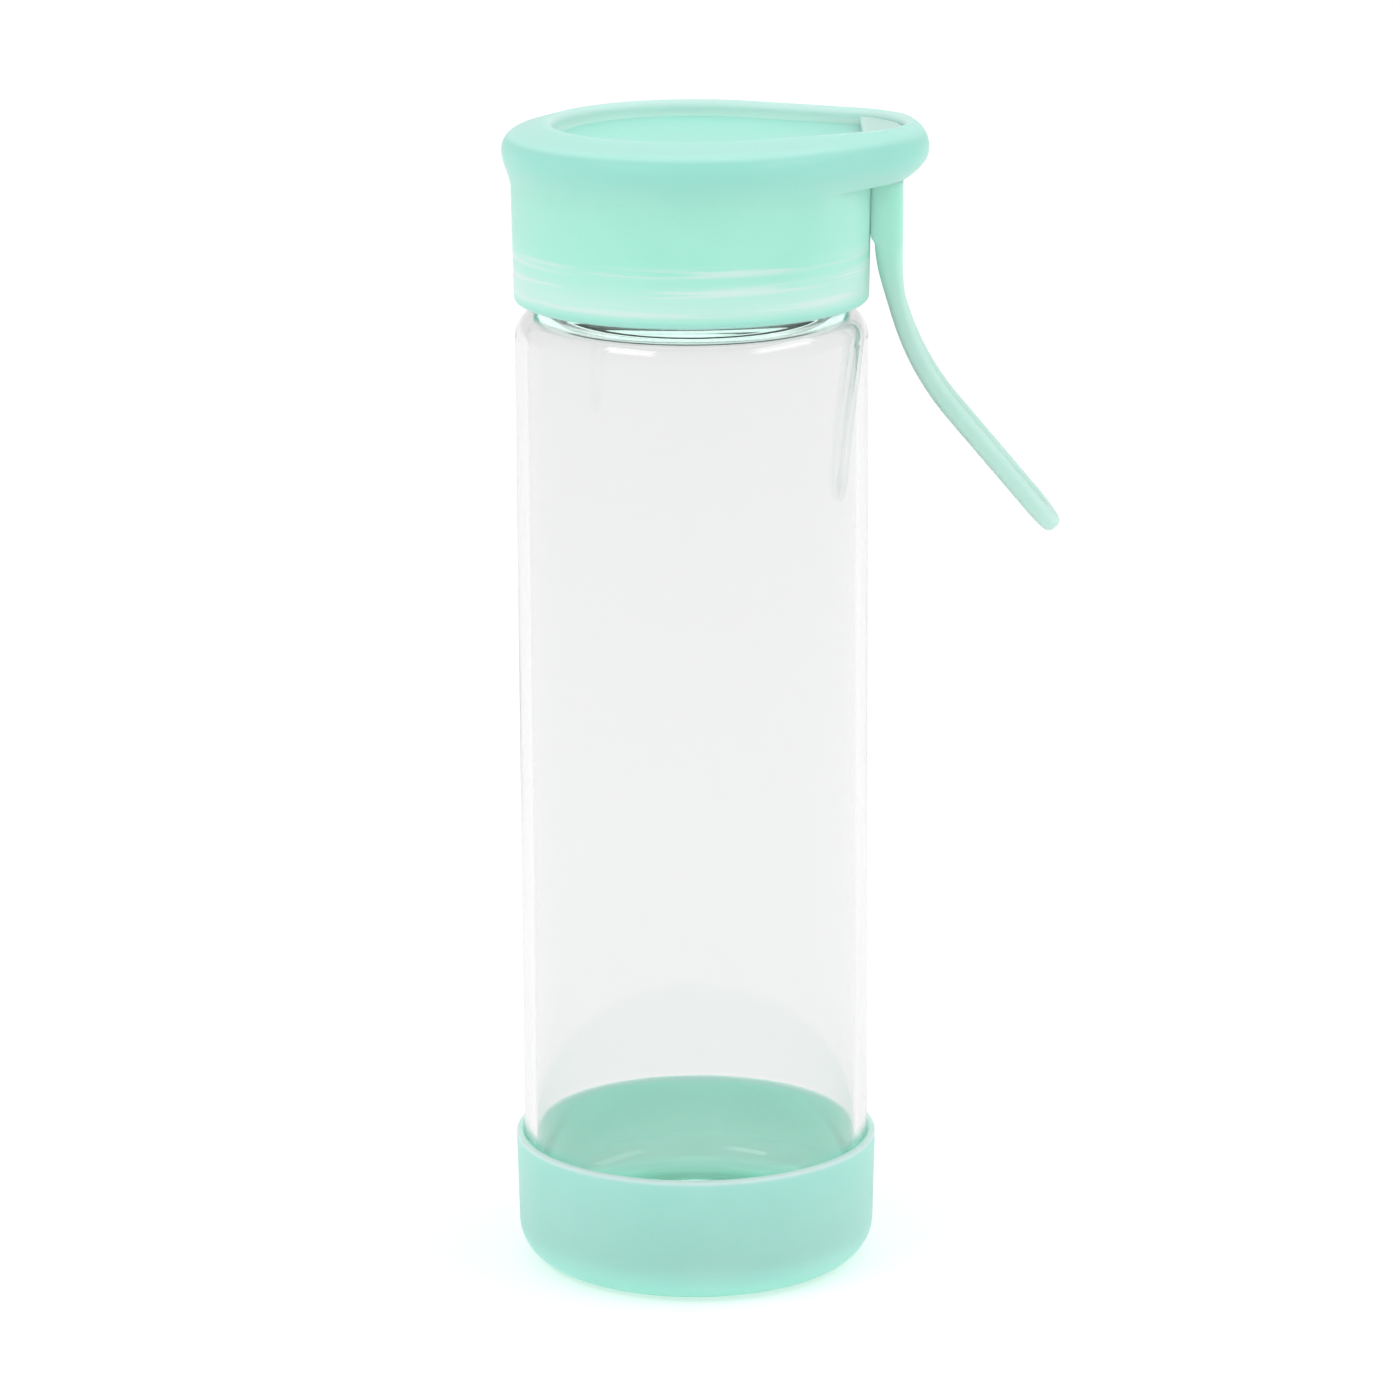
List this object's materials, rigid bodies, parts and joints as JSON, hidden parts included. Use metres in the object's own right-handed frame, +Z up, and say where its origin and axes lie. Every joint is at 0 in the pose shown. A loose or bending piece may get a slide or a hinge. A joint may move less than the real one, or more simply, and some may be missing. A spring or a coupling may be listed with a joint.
{
  "type": "glass water bottle",
  "caption": "Tall cylindrical glass water bottle with a screw lid, a rolled lip and lug, a soft carry strap with a loop and a silicone boot round its base.",
  "frame": {"origin": "centre of the boot's flat resting face", "axes": "+Z up along the bottle's axis, +X from the axis towards the lug and strap"},
  "size_m": [0.1104, 0.0744, 0.2334],
  "materials": {
    "clear_glass": "clear, polished",
    "boot_silicone": "matt mint silicone",
    "frosted_lid": "frosted translucent mint plastic",
    "liner_plastic": "pale translucent plastic",
    "seal_silicone": "milky silicone",
    "strap_silicone": "pale mint silicone"
  },
  "bodies": {
    "boot": {"silicone_boot": "boot_silicone"},
    "bottle": {"glass_bottle": "clear_glass"},
    "seal": {"lid_gasket": "seal_silicone"},
    "lid": {"lid_shell": "frosted_lid", "lid_liner": "liner_plastic", "strap_head": "strap_silicone"},
    "strap": {"carry_strap": "strap_silicone"}
  },
  "joints": [
    {"name": "boot_pull", "type": "slide", "parent": "boot", "child": "bottle", "axis": [0, 0, 1], "range_m": [0, 0.045]},
    {"name": "lid_lift", "type": "slide", "parent": "bottle", "child": "seal", "axis": [0, 0, 1], "range_m": [0, 0.006]},
    {"name": "lid_turn", "type": "hinge", "parent": "seal", "child": "lid", "pos_m": [0, 0, 0.198], "axis": [0, 0, 1], "range_deg": [0, 540]},
    {"name": "strap_swing", "type": "hinge", "parent": "lid", "child": "strap", "pos_m": [0.0387, 0, 0.2165], "axis": [0, -1, 0], "range_deg": [0, 120], "stiffness_Nm_per_rad": 0.004}
  ],
  "couplings": [
    {"joint": "lid_lift", "follows": "lid_turn", "m_per_rad": 0.00063662}
  ]
}
